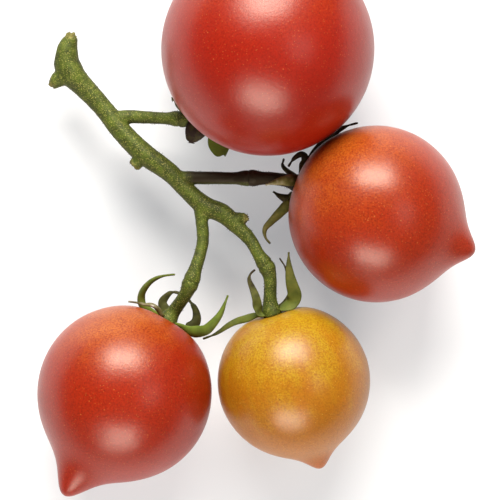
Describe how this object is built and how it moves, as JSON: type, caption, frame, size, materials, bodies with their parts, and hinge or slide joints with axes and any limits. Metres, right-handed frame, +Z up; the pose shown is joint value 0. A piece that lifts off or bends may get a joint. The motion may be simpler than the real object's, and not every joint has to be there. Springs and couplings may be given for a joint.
{
  "type": "truss of tomatoes",
  "caption": "Small pointed tomatoes, red and half-ripe, on one forked green truss stem with curled sepals, lying on a level surface.",
  "frame": {"origin": "centre of the footprint on the surface the fruits rest on", "axes": "+Z up from the surface, +Y along the truss towards the largest fruit, +X towards the fruit on the right"},
  "size_m": [0.0962, 0.1214, 0.0467],
  "materials": {
    "skin_red": "gloss",
    "skin_orange": "gloss",
    "stem_green": "matte",
    "sepal_green": "matte"
  },
  "bodies": {
    "root": {"fruit_stalk_left": "stem_green", "fruit_stalk_orange": "stem_green", "fruit_stalk_right": "stem_green", "fruit_stalk_top": "stem_green", "sepal_left_1": "sepal_green", "sepal_left_2": "sepal_green", "sepal_left_3": "sepal_green", "sepal_left_4": "sepal_green", "sepal_left_5": "sepal_green", "sepal_orange_1": "sepal_green", "sepal_orange_2": "sepal_green", "sepal_orange_3": "sepal_green", "sepal_orange_4": "sepal_green", "sepal_orange_5": "sepal_green", "sepal_right_1": "sepal_green", "sepal_right_2": "sepal_green", "sepal_right_3": "sepal_green", "sepal_right_4": "sepal_green", "sepal_right_5": "sepal_green", "sepal_right_6": "sepal_green", "sepal_top_1": "sepal_green", "sepal_top_2": "sepal_green", "sepal_top_3": "sepal_green", "sepal_top_4": "sepal_green", "sepal_top_5": "sepal_green", "tomato_left": "skin_red", "tomato_orange": "skin_orange", "tomato_right": "skin_red", "tomato_top": "skin_red", "truss_stem": "stem_green"}
  },
  "joints": []
}
